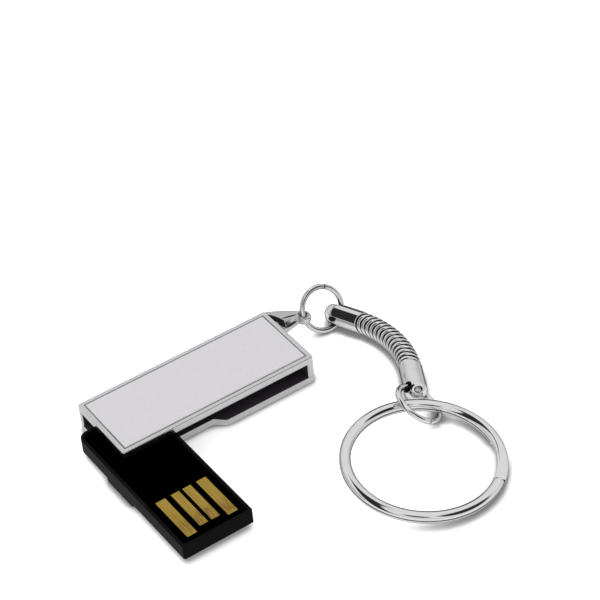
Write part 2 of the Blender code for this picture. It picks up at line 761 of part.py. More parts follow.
def make_link(name):
    """One waved link, its axis along X, its origin on the hinge with the link before it."""
    bm = bmesh.new()
    sides, ring = 24, 8
    radial, axial = LINK_WALL / 2, LINK_THICKNESS / 2
    middle = LINK_RADIUS - radial
    profile = []
    for step in range(ring):
        angle = 2 * math.pi * step / ring
        profile.append(bm.verts.new((axial * math.cos(angle), middle + radial * math.sin(angle), 0.0)))
    edges = [bm.edges.new((profile[i], profile[(i + 1) % ring])) for i in range(ring)]
    bmesh.ops.spin(
        bm,
        geom=profile + edges,
        cent=(0, 0, 0),
        axis=(1, 0, 0),
        angle=2 * math.pi,
        steps=sides,
        use_merge=True,
    )
    bmesh.ops.remove_doubles(bm, verts=bm.verts, dist=0.001 * MM)
    crest = math.radians(LINK_WAVE_TURN)
    for vertex in bm.verts:
        angle = math.atan2(vertex.co.z, vertex.co.y)
        vertex.co.x += LINK_PITCH / 2 + LINK_WAVE * math.cos(2 * (angle - crest))
    link = mesh_object(name, bm)
    smooth(link, 60)
    return link


def make_key_ring():
    """Split ring: a flat band wound almost two turns, its origin at the ring's centre."""
    band = bpy.data.curves.new("band_section", "CURVE")
    band.dimensions = "2D"
    band.fill_mode = "NONE"
    half_band, half_height = KEY_RING_BAND / 2, KEY_RING_TURN_HEIGHT / 2
    soft = half_height * 0.45
    section = rounded_rectangle(-half_band, half_band, -half_height, half_height, [soft] * 4)[::3]
    outline = band.splines.new("POLY")
    outline.points.add(len(section) - 1)
    for point, (x, y) in zip(outline.points, section):
        point.co = (x, y, 0.0, 1.0)
    outline.use_cyclic_u = True
    section_object = bpy.data.objects.new("band_section", band)
    CUTTERS.objects.link(section_object)

    path = bpy.data.curves.new("key_ring", "CURVE")
    path.dimensions = "3D"
    path.twist_mode = "Z_UP"
    path.bevel_mode = "OBJECT"
    path.bevel_object = section_object
    path.use_fill_caps = True
    spline = path.splines.new("POLY")
    count = 96
    spline.points.add(count)
    rise = KEY_RING_TURN_HEIGHT + KEY_RING_TURN_GAP
    for step, point in enumerate(spline.points):
        angle = 360.0 * KEY_RING_TURNS * step / count
        share = (angle - 180.0 * KEY_RING_TURNS) / KEY_RING_CROSSOVER + 0.5
        share = min(max(share, 0.0), 1.0)
        height = rise * (share * share * (3 - 2 * share) - 0.5)
        turn = math.radians(KEY_RING_START + angle)
        point.co = (KEY_RING_RADIUS * math.cos(turn), KEY_RING_RADIUS * math.sin(turn), height, 1.0)
    ring = curve_to_mesh(bpy.data.objects.new("key_ring", path))
    bpy.data.objects.remove(section_object)
    return ring


def turn_z(degrees):
    return Matrix.Rotation(math.radians(degrees), 4, "Z")


def tilted(tilt, heading):
    """Rotation that leans +Z by a tilt towards a heading, in degrees."""
    return turn_z(heading) @ Matrix.Rotation(math.radians(tilt), 4, "Y") @ turn_z(-heading)


def make_chain():
    """Jump ring, first cap, links, second cap, connector ring and key ring, each hung on the one before."""
    ear_joint = joint_empty("ear_joint", None, Matrix.Translation(EAR_HOLE))
    lean = Matrix.Rotation(math.radians(90 - JUMP_RING_LEAN), 4, "X")
    ring = wire_ring("jump_ring", RING_RADIUS, 62.0)
    smooth(ring, 60)
    place(ring, CHROME, ear_joint, lean)

    eye = math.radians(EYE_ON_RING)
    on_ring = Vector((RING_RADIUS * (1 + math.cos(eye)), RING_RADIUS * math.sin(eye), 0.0))
    eye_place = lean @ on_ring
    eye_place.z = CHAIN_AXIS_Z - EAR_HOLE_Z
    eye_joint = joint_empty("eye_joint", ear_joint, Matrix.Translation(eye_place) @ turn_z(CHAIN_HEADING))
    cap = cap_solid("chain_cap_a", CAP_EYE_TO_CHAIN, math.radians(CAP_A_ROLL - 90), CAP_A_EYE_SHIFT)
    smooth(cap)
    place(cap, CHROME, eye_joint)

    bend = turn_z(CHAIN_TURN / (LINK_COUNT + 1))
    before, step = eye_joint, Matrix.Translation((CAP_EYE_TO_CHAIN, 0, 0))
    for number in range(1, LINK_COUNT + 1):
        link = make_link(f"chain_link_{number:02d}")
        place(link, CHROME, before, step @ bend)
        before, step = link, Matrix.Translation((LINK_PITCH, 0, 0))

    cap_joint = joint_empty("cap_joint", before, step @ bend)
    cap = cap_solid("chain_cap_b", CAP_B_EYE_TO_CHAIN, math.radians(CAP_B_ROLL - 90), CAP_B_EYE_SHIFT)
    smooth(cap)
    rise = Matrix.Rotation(math.radians(-CAP_B_RISE), 4, "Y")
    to_eye = Vector((CAP_B_EYE_TO_CHAIN, 0, 0))
    place(cap, CHROME, cap_joint, rise @ Matrix.Translation(to_eye) @ turn_z(180))

    heading = CHAIN_HEADING + CHAIN_TURN
    hold = Matrix.Translation(rise @ to_eye + Vector((0, 0, CONNECTOR_LIFT))) @ turn_z(-heading)
    connector_joint = joint_empty("connector_joint", cap_joint, hold)
    lie = tilted(CONNECTOR_TILT, CONNECTOR_TILT_HEADING) @ turn_z(CONNECTOR_HEADING)
    connector = wire_ring("connector_ring", CONNECTOR_RADIUS, 25.0)
    smooth(connector, 60)
    place(connector, CHROME, connector_joint, lie)

    middle = lie @ Vector((CONNECTOR_RADIUS, 0, 0)) + Vector(KEY_RING_HOLD_OFFSET)
    key_joint = joint_empty("key_joint", connector_joint, Matrix.Translation(middle))
    tilt = tilted(KEY_RING_TILT, KEY_RING_TILT_HEADING)
    held = math.radians(KEY_RING_HOLD)
    held_point = tilt @ Vector((KEY_RING_RADIUS * math.cos(held), KEY_RING_RADIUS * math.sin(held), 0))
    key_ring = make_key_ring()
    smooth(key_ring, 30)
    place(key_ring, CHROME, key_joint, Matrix.Translation(-held_point) @ tilt)


def make_slug():
    turned_out = Matrix.Translation(PIVOT) @ turn_z(-SLUG_SWUNG_OUT)
    swing = joint_empty("slug_joint", None, turned_out)
    make_slug_carrier(swing)
    make_contact_board(swing)
    make_contact_pads(swing)
    make_chips(swing)
    make_pivot_bush(swing)


def main():
    make_casing_body()
    make_bottom_plate()
    make_top_panel()
    make_pivot_pin()
    make_base_screw()
    make_spring_washer()
    make_slug()
    make_chain()


main()
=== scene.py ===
import json
import math

import bmesh
import bpy
from mathutils import Matrix, Vector


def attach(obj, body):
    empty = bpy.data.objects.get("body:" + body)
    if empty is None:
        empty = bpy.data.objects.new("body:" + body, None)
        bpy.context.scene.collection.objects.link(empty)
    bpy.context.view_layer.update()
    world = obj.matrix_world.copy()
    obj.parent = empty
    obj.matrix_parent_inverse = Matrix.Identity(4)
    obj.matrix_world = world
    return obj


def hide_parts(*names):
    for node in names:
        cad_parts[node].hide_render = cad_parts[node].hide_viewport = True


mm = 0.001
slack = 0.01 * mm  # for picking faces and edges by their place
weld = 0.001 * mm
facing = 0.9  # least part of a normal along an axis that it faces
origin = (0, 0, 0)

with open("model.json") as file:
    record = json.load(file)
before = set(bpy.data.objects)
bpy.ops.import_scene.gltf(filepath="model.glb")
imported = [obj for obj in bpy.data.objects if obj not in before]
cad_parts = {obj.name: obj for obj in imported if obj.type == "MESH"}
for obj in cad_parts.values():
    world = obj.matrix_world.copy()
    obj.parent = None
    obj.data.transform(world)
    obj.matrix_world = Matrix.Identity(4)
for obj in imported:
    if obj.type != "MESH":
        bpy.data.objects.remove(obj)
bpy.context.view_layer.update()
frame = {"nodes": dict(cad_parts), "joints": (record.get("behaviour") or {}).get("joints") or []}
print("frame loaded:", len(frame["nodes"]), "solids")

scene = bpy.context.scene
scene.view_settings.view_transform = "Standard"
hingeAt = {joint["child"]: Vector(joint["pos_m"]) for joint in frame["joints"]}


# shader maths on sockets: an expression on wires adds its own nodes
class Wire:
    def __init__(self, graph, socket):
        self.graph = graph
        self.socket = socket

    def maths(self, operation, *terms):
        return self.graph.add("ShaderNodeMath", {"operation": operation}, dict(enumerate(terms)))

    def __add__(self, other):
        return self.maths("ADD", self, other)

    def __sub__(self, other):
        return self.maths("SUBTRACT", self, other)

    def __mul__(self, other):
        return self.maths("MULTIPLY", self, other)

    def __radd__(self, other):
        return self.maths("ADD", other, self)

    def __rsub__(self, other):
        return self.maths("SUBTRACT", other, self)

    def __rmul__(self, other):
        return self.maths("MULTIPLY", other, self)

    def clamped(self):
        return self.maths("MINIMUM", self.maths("MAXIMUM", self, 0.0), 1.0)


class Graph:
    def __init__(self, tree):
        self.tree = tree
        tree.nodes.clear()

    def add(self, kind, settings=None, values=None, out=0):
        node = self.tree.nodes.new(kind)
        for key, value in (settings or {}).items():
            setattr(node, key, value)
        for key, value in (values or {}).items():
            if isinstance(value, Wire):
                self.tree.links.new(value.socket, node.inputs[key])
            else:
                node.inputs[key].default_value = value
        return Wire(self, node.outputs[out]) if node.outputs else None

    def mix(self, share, low, high):
        # sockets 6, 7 and 2 are the node's colours
        settings = {"data_type": "RGBA", "blend_type": "MIX"}
        return self.add("ShaderNodeMix", settings, {0: share, 6: low, 7: high}, 2)

    def spread(self, value, low, high, newLow=0.0, newHigh=1.0, shape="SMOOTHSTEP"):
        settings = {"interpolation_type": shape, "clamp": True}
        places = dict(enumerate((value, low, high, newLow, newHigh)))
        return self.add("ShaderNodeMapRange", settings, places)

    def rays(self, kind):
        return self.add("ShaderNodeLightPath", out=kind)


class Finish(Graph):
    def __init__(self, name, **fixed):
        self.material = bpy.data.materials.new(name)
        self.material.use_nodes = True
        super().__init__(self.material.node_tree)
        surface = self.add("ShaderNodeBsdfPrincipled")
        self.shader = surface.socket.node
        self.add("ShaderNodeOutputMaterial", {}, {"Surface": surface})
        for key, value in fixed.items():
            self.give(key, value)

    def give(self, key, value):
        socket = self.shader.inputs[key.replace("_", " ")]
        if isinstance(value, Wire):
            self.tree.links.new(value.socket, socket)
        else:
            socket.default_value = value

    def place(self, stretch=(1.0, 1.0, 1.0), turn=0.0):
        here = self.add("ShaderNodeTexCoord", out="Object")
        places = {"Vector": here, "Rotation": (0.0, 0.0, math.radians(turn)), "Scale": stretch}
        return self.add("ShaderNodeMapping", {}, places)

    def noise(self, where, scale, detail, rough):
        places = {"Vector": where, "Scale": scale, "Detail": detail, "Roughness": rough}
        return self.add("ShaderNodeTexNoise", {}, places, "Fac")

    def bump(self, height, strength, distance):
        places = {"Strength": strength, "Distance": distance, "Height": height}
        self.give("Normal", self.add("ShaderNodeBump", {}, places))


# in the looks below, each noise is its scale, detail and roughness, and each bump its strength
# and depth

# bright plating: faint haze, handling marks and hairlines
plateLook = {"soft": (420.0, 4.0, 0.55), "fine": (2600.0, 2.0, 0.5), "hair": (1500.0, 2.0, 0.6),
             "hairStretch": (1.0, 1.0, 9.0), "hairTurn": 25.0, "hairShare": 0.5,
             "softMiddle": 0.4, "dulled": 0.93, "dullSpan": (0.45, 0.75), "dullShare": 0.8,
             "bump": (0.04, 0.006 * mm)}


# edge is the tint of the glancing reflection: a painted shade that darkens the outlines
def platedFinish(name, tone, haze, hazeSpread, edge):
    finish = Finish(name, Metallic=1.0, Specular_Tint=(edge, edge, edge, 1.0))
    soft = finish.noise(finish.place(), *plateLook["soft"])
    fine = finish.noise(finish.place(), *plateLook["fine"])
    along = finish.place(plateLook["hairStretch"], plateLook["hairTurn"])
    hair = finish.noise(along, *plateLook["hair"])
    marks = hazeSpread * (soft - plateLook["softMiddle"])
    hairlines = hazeSpread * plateLook["hairShare"] * (hair - 0.5)
    finish.give("Roughness", (haze + marks + hairlines).clamped())
    dull = tuple(part * plateLook["dulled"] for part in tone[:3]) + (1.0,)
    share = finish.spread(soft, *plateLook["dullSpan"]) * plateLook["dullShare"]
    finish.give("Base Color", finish.mix(share, tone, dull))
    finish.bump(fine, *plateLook["bump"])
    return finish.material


# matt panel: fine even grain with a slight mottle
panelLook = {"tone": (0.835, 0.82, 0.85, 1.0), "dark": (0.755, 0.74, 0.77, 1.0), "metallic": 0.55,
             "rough": 0.46, "roughSpread": 0.12, "grain": (5200.0, 2.0, 0.6),
             "mottle": (260.0, 3.0, 0.5), "grainSpan": (0.35, 0.7), "grainShare": 0.7,
             "bump": (0.12, 0.02 * mm)}


def panelFinish():
    finish = Finish("matt_silver_panel", Metallic=panelLook["metallic"])
    grain = finish.noise(finish.place(), *panelLook["grain"])
    mottle = finish.noise(finish.place(), *panelLook["mottle"])
    even = finish.spread(grain, *panelLook["grainSpan"]) * panelLook["grainShare"]
    share = (even + mottle * (1.0 - panelLook["grainShare"])).clamped()
    finish.give("Base Color", finish.mix(share, panelLook["dark"], panelLook["tone"]))
    finish.give("Roughness", panelLook["rough"] + panelLook["roughSpread"] * (grain - 0.5))
    finish.bump(grain, *panelLook["bump"])
    return finish.material


# moulded tray: satin plastic with a fine spark-eroded grain and rubbed patches
trayLook = {"tone": (0.003, 0.0027, 0.0032, 1.0), "worn": (0.007, 0.0065, 0.0075, 1.0),
            "shine": 0.043, "rough": 0.5, "rubRough": 0.18, "grainRough": 0.1,
            "grain": (3800.0, 2.0, 0.55), "rub": (330.0, 4.0, 0.6),
            "rubStretch": (1.0, 0.35, 1.0), "rubSpan": (0.5, 0.78), "bump": (0.15, 0.015 * mm)}


def trayFinish():
    finish = Finish("satin_dark_plastic", Metallic=0.0)
    grain = finish.noise(finish.place(), *trayLook["grain"])
    rub = finish.noise(finish.place(trayLook["rubStretch"]), *trayLook["rub"])
    share = finish.spread(rub, *trayLook["rubSpan"])
    finish.give("Base Color", finish.mix(share, trayLook["tone"], trayLook["worn"]))
    rough = trayLook["rough"] + trayLook["rubRough"] * (rub - 0.5)
    finish.give("Roughness", (rough + trayLook["grainRough"] * (grain - 0.5)).clamped())
    finish.give("Specular IOR Level", trayLook["shine"])
    finish.bump(grain, *trayLook["bump"])
    return finish.material


# coated board face: deep black with faint hairlines
boardLook = {"tone": (0.0001, 0.0001, 0.0001, 1.0), "pale": (0.0003, 0.0003, 0.0003, 1.0),
             "shine": 0.0, "rough": 0.34, "roughSpread": 0.25, "hair": (700.0, 2.0, 0.6),
             "hairStretch": (14.0, 0.6, 1.0), "hairTurn": 3.0, "cloud": (200.0, 3.0, 0.5)}


def boardFinish():
    finish = Finish("black_board_coat", Metallic=0.0)
    along = finish.place(boardLook["hairStretch"], boardLook["hairTurn"])
    hair = finish.noise(along, *boardLook["hair"])
    cloud = finish.noise(finish.place(), *boardLook["cloud"])
    finish.give("Base Color", finish.mix(cloud, boardLook["tone"], boardLook["pale"]))
    rough = boardLook["rough"] + boardLook["roughSpread"] * (hair - 0.5)
    finish.give("Roughness", rough.clamped())
    finish.give("Specular IOR Level", boardLook["shine"])
    return finish.material


# contacts: gold with lengthwise brush lines and brown wipe marks towards the plug end
padLook = {"gold": (0.335, 0.215, 0.024, 1.0), "pale": (0.46, 0.315, 0.062, 1.0),
           "worn": (0.20, 0.098, 0.026, 1.0), "metallic": 0.75,
           "wearFrom": -21.9 * mm, "wearTo": -23.4 * mm, "wearEnd": -25.7 * mm,
           "wearFade": 0.8 * mm, "endKept": 0.75, "wearShare": 0.8,
           "rough": 0.34, "lineRough": 0.25, "wearRough": 0.12,
           "lines": (420.0, 3.0, 0.6), "lineStretch": (22.0, 0.8, 1.0), "lineSpan": (0.35, 0.7),
           "rub": (330.0, 4.0, 0.7), "rubStretch": (16.0, 1.4, 1.0), "rubSpan": (0.42, 0.60),
           "speck": (2400.0, 2.0, 0.6), "lineShare": 0.7, "bump": (0.25, 0.01 * mm)}


def padFinish():
    finish = Finish("contact_gold_plate", Metallic=padLook["metallic"])
    lines = finish.noise(finish.place(padLook["lineStretch"]), *padLook["lines"])
    speck = finish.noise(finish.place(), *padLook["speck"])
    here = finish.add("ShaderNodeSeparateXYZ", {}, {"Vector": finish.place()}, "Y")
    wiped = finish.spread(here, padLook["wearFrom"], padLook["wearTo"])
    kept = finish.spread(here, padLook["wearEnd"] + padLook["wearFade"], padLook["wearEnd"])
    rub = finish.noise(finish.place(padLook["rubStretch"]), *padLook["rub"])
    rubbed = finish.spread(rub, *padLook["rubSpan"])
    share = wiped * (1.0 - padLook["endKept"] * kept) * rubbed * padLook["wearShare"]
    share = share.clamped()
    brushed = finish.spread(lines, *padLook["lineSpan"])
    bright = finish.mix(brushed, padLook["gold"], padLook["pale"])
    finish.give("Base Color", finish.mix(share, bright, padLook["worn"]))
    rough = padLook["rough"] + padLook["lineRough"] * (lines - 0.5) + padLook["wearRough"] * share
    finish.give("Roughness", rough.clamped())
    relief = lines * padLook["lineShare"] + speck * (1.0 - padLook["lineShare"])
    finish.bump(relief, *padLook["bump"])
    return finish.material


# turned steel of the pin, screw, washer and bush
steelLook = {"dark": (0.46, 0.46, 0.47, 1.0), "pale": (0.60, 0.60, 0.61, 1.0), "rough": 0.26,
             "roughSpread": 0.16, "turned": (300.0, 2.0, 0.5), "stretch": (1.0, 1.0, 30.0)}


def steelFinish():
    finish = Finish("turned_steel", Metallic=1.0)
    turned = finish.noise(finish.place(steelLook["stretch"]), *steelLook["turned"])
    finish.give("Base Color", finish.mix(turned, steelLook["dark"], steelLook["pale"]))
    finish.give("Roughness", steelLook["rough"] + steelLook["roughSpread"] * (turned - 0.5))
    return finish.material


# moulded chip packages
chipLook = {"dark": (0.012, 0.012, 0.013, 1.0), "pale": (0.028, 0.028, 0.03, 1.0), "rough": 0.5,
            "roughSpread": 0.2, "grain": (4000.0, 3.0, 0.6), "bump": (0.2, 0.01 * mm)}


def chipFinish():
    finish = Finish("chip_mould", Metallic=0.0)
    grain = finish.noise(finish.place(), *chipLook["grain"])
    finish.give("Base Color", finish.mix(grain, chipLook["dark"], chipLook["pale"]))
    finish.give("Roughness", chipLook["rough"] + chipLook["roughSpread"] * (grain - 0.5))
    finish.bump(grain, *chipLook["bump"])
    return finish.material


# painted shade: a dull dark coat with specks, put on inner walls, crevices, hollows, sawn ends and
# faces between parts, where shade falls
paintedShadeLook = {"dark": (0.032, 0.028, 0.033, 1.0), "pale": (0.058, 0.050, 0.060, 1.0),
              "shine": 0.15, "rough": 0.55, "roughSpread": 0.2, "speck": (3000.0, 3.0, 0.6)}


def paintedShadeFinish():
    finish = Finish("painted_shade", Metallic=0.0)
    speck = finish.noise(finish.place(), *paintedShadeLook["speck"])
    finish.give("Base Color", finish.mix(speck, paintedShadeLook["dark"], paintedShadeLook["pale"]))
    finish.give("Roughness", paintedShadeLook["rough"] + paintedShadeLook["roughSpread"] * (speck - 0.5))
    finish.give("Specular IOR Level", paintedShadeLook["shine"])
    return finish.material


brightPlate = platedFinish("bright_plating", (0.80, 0.795, 0.80, 1.0),
                           haze=0.07, hazeSpread=0.06, edge=0.08)
casingPlate = platedFinish("casing_plating", (0.665, 0.66, 0.67, 1.0),
                           haze=0.22, hazeSpread=0.12, edge=0.75)
panelCoat = panelFinish()
trayPlastic = trayFinish()
boardCoat = boardFinish()
padGold = padFinish()
turnedSteel = steelFinish()
chipMould = chipFinish()
paintedShade = paintedShadeFinish()
print("finishes made")


# shared helpers for pieces
def fromBmesh(name, bm, finish, body, smoothAngle=35.0, shadeCoat=None):
    bmesh.ops.recalc_face_normals(bm, faces=bm.faces)
    mesh = bpy.data.meshes.new(name)
    bm.to_mesh(mesh)
    bm.free()
    mesh.shade_smooth()
    mesh.set_sharp_from_angle(angle=math.radians(smoothAngle))
    mesh.materials.append(finish)
    # a second slot holds the painted shade
    if shadeCoat is not None:
        mesh.materials.append(shadeCoat)
    piece = bpy.data.objects.new(name, mesh)
    scene.collection.objects.link(piece)
    # large faces keep their own shading beside the bevels
    piece.modifiers.new("evenShading", "WEIGHTED_NORMAL").keep_sharp = True
    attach(piece, body)
    return piece


def standsFor(piece, node):
    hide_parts(node)


# faces that inside picks get the painted shade in slot 1
def paintShadeOn(bm, inside):
    for face in bm.faces:
        if inside(face.calc_center_median(), face.normal):
            face.material_index = 1


def eased(share):
    return share * share * (3 - 2 * share)


def turnZ(degrees):
    return Matrix.Rotation(math.radians(degrees), 4, "Z")


def leaning(tilt, heading):
    return turnZ(heading) @ Matrix.Rotation(math.radians(tilt), 4, "Y") @ turnZ(-heading)


def vertsOf(geom):
    return [part for part in geom if isinstance(part, bmesh.types.BMVert)]


def softened(bm, width, segments, angle=40.0, only=None):
    least = math.radians(angle)
    edges = [e for e in bm.edges if len(e.link_faces) == 2 and e.calc_face_angle(0.0) > least]
    if only is not None:
        edges = [e for e in edges if only(e)]
    bmesh.ops.bevel(bm, geom=edges, offset=width, offset_type="OFFSET", affect="EDGES",
                    segments=segments, profile=0.5, material=-1, clamp_overlap=True)


def cubeBetween(bm, low, high):
    made = bmesh.ops.create_cube(bm, size=1.0)["verts"]
    bmesh.ops.scale(bm, vec=[high[i] - low[i] for i in range(3)], verts=made)
    bmesh.ops.translate(bm, vec=[(high[i] + low[i]) / 2 for i in range(3)], verts=made)


def raised(bm, outline, low, high):
    face = bm.faces.new([bm.verts.new((x, y, low)) for x, y in outline])
    top = vertsOf(bmesh.ops.extrude_face_region(bm, geom=[face])["geom"])
    bmesh.ops.translate(bm, vec=(0, 0, high - low), verts=top)
    bmesh.ops.recalc_face_normals(bm, faces=bm.faces)


def pushed(bm, faces, rise):
    moved = vertsOf(bmesh.ops.extrude_face_region(bm, geom=faces)["geom"])
    bmesh.ops.delete(bm, geom=faces, context="FACES_ONLY")
    bmesh.ops.translate(bm, vec=(0, 0, rise), verts=moved)


def turnedAbout(bm, profile, axis, steps):
    verts = [bm.verts.new(point) for point in profile]
    edges = [bm.edges.new(pair) for pair in zip(verts, verts[1:])]
    bmesh.ops.spin(bm, geom=verts + edges, cent=origin, axis=axis, angle=2 * math.pi, steps=steps,
                   use_merge=True, use_duplicate=False)
    bmesh.ops.remove_doubles(bm, verts=bm.verts, dist=weld / 2)
    bmesh.ops.recalc_face_normals(bm, faces=bm.faces)


# hollows are balls of 1 mm, stretched and placed by a matrix
ball = {"around": 48, "upward": 32, "slack": 0.03 * mm}


def ballCut(place):
    bm = bmesh.new()
    bmesh.ops.create_uvsphere(bm, u_segments=ball["around"], v_segments=ball["upward"], radius=mm)
    bmesh.ops.transform(bm, matrix=place, verts=bm.verts)
    return bm


def onBall(face, shrink):
    # shrink takes the hollow back to its ball
    return all(abs((shrink @ vert.co).length - mm) < ball["slack"] for vert in face.verts)


def carved(bm, cuts):
    # used for openings that no mesh operator makes
    pieces = []
    for part in [bm] + cuts:
        bmesh.ops.recalc_face_normals(part, faces=part.faces)
        mesh = bpy.data.meshes.new("carveWork")
        part.to_mesh(mesh)
        part.free()
        piece = bpy.data.objects.new("carveWork", mesh)
        scene.collection.objects.link(piece)
        pieces.append(piece)
    for piece in pieces[1:]:
        step = pieces[0].modifiers.new("carve", "BOOLEAN")
        step.operation = "DIFFERENCE"
        step.object = piece
        step.solver = "EXACT"
    bpy.context.view_layer.update()
    graph = bpy.context.evaluated_depsgraph_get()
    result = bmesh.new()
    result.from_mesh(pieces[0].evaluated_get(graph).to_mesh())
    for piece in pieces:
        mesh = piece.data
        bpy.data.objects.remove(piece)
        bpy.data.meshes.remove(mesh)
    bmesh.ops.remove_doubles(result, verts=result.verts, dist=2 * weld)
    bmesh.ops.dissolve_degenerate(result, edges=result.edges, dist=2 * weld)
    return result


# casing: one plated shell with the pocket for the panel
casing = {"halfLength": 17.0 * mm, "halfWidth": 6.8 * mm, "bottom": 1.2 * mm, "top": 5.0 * mm,
          "slotTop": 3.75 * mm, "backWall": 5.8 * mm, "endWall": 15.8 * mm,
          "pocketRim": 0.8 * mm, "pocketFloor": 4.55 * mm, "corner": 0.4 * mm, "edge": 0.16 * mm}


def atOuterCorner(edge):
    one, two = (v.co for v in edge.verts)
    upright = abs(one.x - two.x) < weld and abs(one.y - two.y) < weld
    atEnd = abs(abs(one.x) - casing["halfLength"]) < weld
    return upright and atEnd and abs(abs(one.y) - casing["halfWidth"]) < weld


def roundCorners(bm):
    corners = [e for e in bm.edges if atOuterCorner(e)]
    bmesh.ops.bevel(bm, geom=corners, offset=casing["corner"], offset_type="OFFSET",
                    affect="EDGES", segments=8, profile=0.5, material=-1, clamp_overlap=False)


def casingShell():
    bm = bmesh.new()
    long, wide = casing["halfLength"], casing["halfWidth"]
    slotTop, backWall, endWall = casing["slotTop"], casing["backWall"], casing["endWall"]
    cubeBetween(bm, (-long, -wide, slotTop), (long, wide, casing["top"]))
    lid = [f for f in bm.faces if f.normal.z > facing]
    bmesh.ops.inset_region(bm, faces=lid, thickness=casing["pocketRim"], use_even_offset=True)
    pushed(bm, lid, casing["pocketFloor"] - casing["top"])
    # the walls grow down from strips of the underside
    for point, normal in (((0, backWall, 0), (0, 1, 0)), ((endWall, 0, 0), (1, 0, 0))):
        under = [f for f in bm.faces if f.normal.z < -facing]
        edges = {e for f in under for e in f.edges}
        verts = {v for f in under for v in f.verts}
        bmesh.ops.bisect_plane(bm, geom=under + list(edges) + list(verts), plane_co=point,
                               plane_no=normal, dist=weld)
    bm.normal_update()
    walls = []
    for face in bm.faces:
        middle = face.calc_center_median()
        if face.normal.z < -facing and (middle.y > backWall or middle.x > endWall):
            walls.append(face)
    pushed(bm, walls, casing["bottom"] - slotTop)
    bmesh.ops.dissolve_limit(bm, angle_limit=0.01, verts=bm.verts, edges=bm.edges)
    roundCorners(bm)
    foot = casing["bottom"] + slack
    softened(bm, casing["edge"], 3, angle=50.0,
             only=lambda e: e.is_convex and max(v.co.z for v in e.verts) > foot)
    bm.normal_update()
    # painted shade: the slot's roof and the inner faces of the back and end walls are darkened
    # where shade falls in the slot
    paintShadeOn(bm, lambda at, way: (way.z < -facing and abs(at.z - slotTop) < slack)
          or (way.y < -facing and abs(at.y - backWall) < slack)
          or (way.x < -facing and abs(at.x - endWall) < slack))
    shell = fromBmesh("casingShell", bm, casingPlate, "casing", shadeCoat=paintedShade)
    standsFor(shell, "casing_body")


casingShell()

# lower plate with the thumb notch, countersunk for the pin and the screw
basePlate = {"thickness": 1.19 * mm, "edge": 0.11 * mm, "notchDepth": 1.5 * mm,
             "notchLeft": -10.8 * mm, "leftSlope": 1.0 * mm, "leftSteps": 12,
             "notchRight": 1.0 * mm, "rightSlope": 1.9 * mm, "rightSteps": 16,
             "drillTop": 3.0 * mm, "drillFoot": -1.0 * mm, "sinkFoot": 0.05 * mm, "drillSteps": 40,
             "pin": {"at": (-13.9 * mm, -0.448 * mm, 0.0), "shank": 0.85 * mm,
                     "head": 1.55 * mm, "deep": 0.45 * mm},
             "screw": {"at": (16.4 * mm, 5.45 * mm, 0.0), "shank": 0.5 * mm,
                       "head": 0.9 * mm, "deep": 0.4 * mm}}


def sunkDrill(hole):
    bm = bmesh.new()
    shank, head = hole["shank"], hole["head"]
    top, foot = basePlate["drillTop"], basePlate["drillFoot"]
    profile = [(0, 0, top), (shank, 0, top), (shank, 0, hole["deep"]),
               (head, 0, basePlate["sinkFoot"]), (head, 0, foot), (0, 0, foot)]
    turnedAbout(bm, profile, (0, 0, 1), basePlate["drillSteps"])
    bmesh.ops.translate(bm, vec=hole["at"], verts=bm.verts)
    return bm


def plateBelow():
    long, wide, deep = casing["halfLength"], casing["halfWidth"], basePlate["notchDepth"]
    inner = -wide + deep
    outline = [(-long, -wide)]
    for step in range(basePlate["leftSteps"] + 1):
        share = step / basePlate["leftSteps"]
        across = basePlate["notchLeft"] + basePlate["leftSlope"] * share
        outline.append((across, -wide + deep * eased(share)))
    for step in range(basePlate["rightSteps"] + 1):
        share = step / basePlate["rightSteps"]
        across = basePlate["notchRight"] - basePlate["rightSlope"] * (1 - share)
        outline.append((across, inner - deep * eased(share)))
    outline += [(long, -wide), (long, wide), (-long, wide)]
    bm = bmesh.new()
    raised(bm, outline, 0.0, basePlate["thickness"])
    roundCorners(bm)
    top = basePlate["thickness"] - slack

    def seenEdge(edge):
        low = min(v.co.z for v in edge.verts)
        return low < slack or (low > top and max(v.co.y for v in edge.verts) < 0.0)

    softened(bm, basePlate["edge"], 3, angle=60.0, only=seenEdge)
    bm = carved(bm, [sunkDrill(basePlate["pin"]), sunkDrill(basePlate["screw"])])
    bm.normal_update()
    # painted shade: the plate's top inside the slot is darkened where the lid shades it
    paintShadeOn(bm, lambda at, way: way.z > facing and at.z > top)
    plate = fromBmesh("plateBelow", bm, casingPlate, "casing", shadeCoat=paintedShade)
    standsFor(plate, "bottom_plate")


plateBelow()

panel = {"halfLength": 16.1 * mm, "halfWidth": 5.9 * mm, "bottom": 4.6 * mm, "top": 5.05 * mm,
         "edge": 0.13 * mm}


def matPanel():
    bm = bmesh.new()
    long, wide = panel["halfLength"], panel["halfWidth"]
    cubeBetween(bm, (-long, -wide, panel["bottom"]), (long, wide, panel["top"]))
    brim = panel["top"] - slack
    softened(bm, panel["edge"], 2, only=lambda e: min(v.co.z for v in e.verts) > brim)
    standsFor(fromBmesh("matPanel", bm, panelCoat, "casing", smoothAngle=20.0), "top_panel")


matPanel()

# the jump ring hangs in the ear, whose drilling follows it
jumpRing = {"radius": 3.46 * mm, "wire": 0.46 * mm, "cut": 0.24 * mm, "cutAt": 62.0, "lean": 31.3,
            "eyeAt": -52.0}

